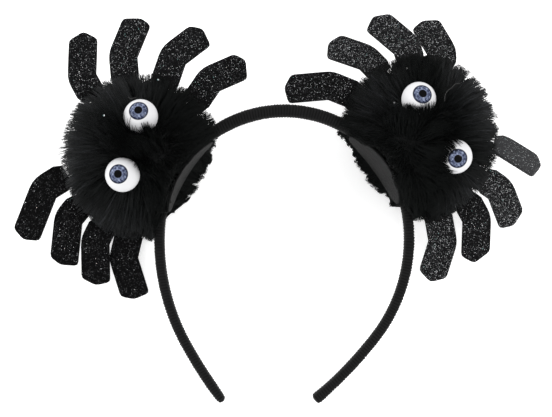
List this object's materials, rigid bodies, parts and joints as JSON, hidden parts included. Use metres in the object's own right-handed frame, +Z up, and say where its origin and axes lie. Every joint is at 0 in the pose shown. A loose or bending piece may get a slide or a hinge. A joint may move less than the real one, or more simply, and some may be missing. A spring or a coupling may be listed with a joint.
{
  "type": "spider headband",
  "caption": "Wound black horseshoe headband with a fur pompom spider on each shoulder, with ball eyes, glitter foam legs and felt pads, lying on its back.",
  "frame": {"origin": "middle of the bounding box's underside, on the surface that the headband lies on", "axes": "+X to the right as the picture shows it, +Y from the tips to the crown, +Z up"},
  "size_m": [0.272, 0.1948, 0.084],
  "materials": {
    "band_wrap": "matte",
    "pad_felt": "matte",
    "pompom_fur": "matte",
    "eye_plastic": "gloss",
    "leg_foam": "satin"
  },
  "bodies": {
    "root": {"band": "band_wrap", "left_pad": "pad_felt", "left_pompom": "pompom_fur", "left_eye_upper": "eye_plastic", "left_eye_lower": "eye_plastic", "left_leg_1": "leg_foam", "left_leg_2": "leg_foam", "left_leg_3": "leg_foam", "left_leg_4": "leg_foam", "left_leg_5": "leg_foam", "left_leg_6": "leg_foam", "left_leg_7": "leg_foam", "left_leg_8": "leg_foam", "right_pad": "pad_felt", "right_pompom": "pompom_fur", "right_eye_upper": "eye_plastic", "right_eye_lower": "eye_plastic", "right_leg_1": "leg_foam", "right_leg_2": "leg_foam", "right_leg_3": "leg_foam", "right_leg_4": "leg_foam", "right_leg_5": "leg_foam", "right_leg_6": "leg_foam", "right_leg_7": "leg_foam", "right_leg_8": "leg_foam"}
  },
  "joints": []
}
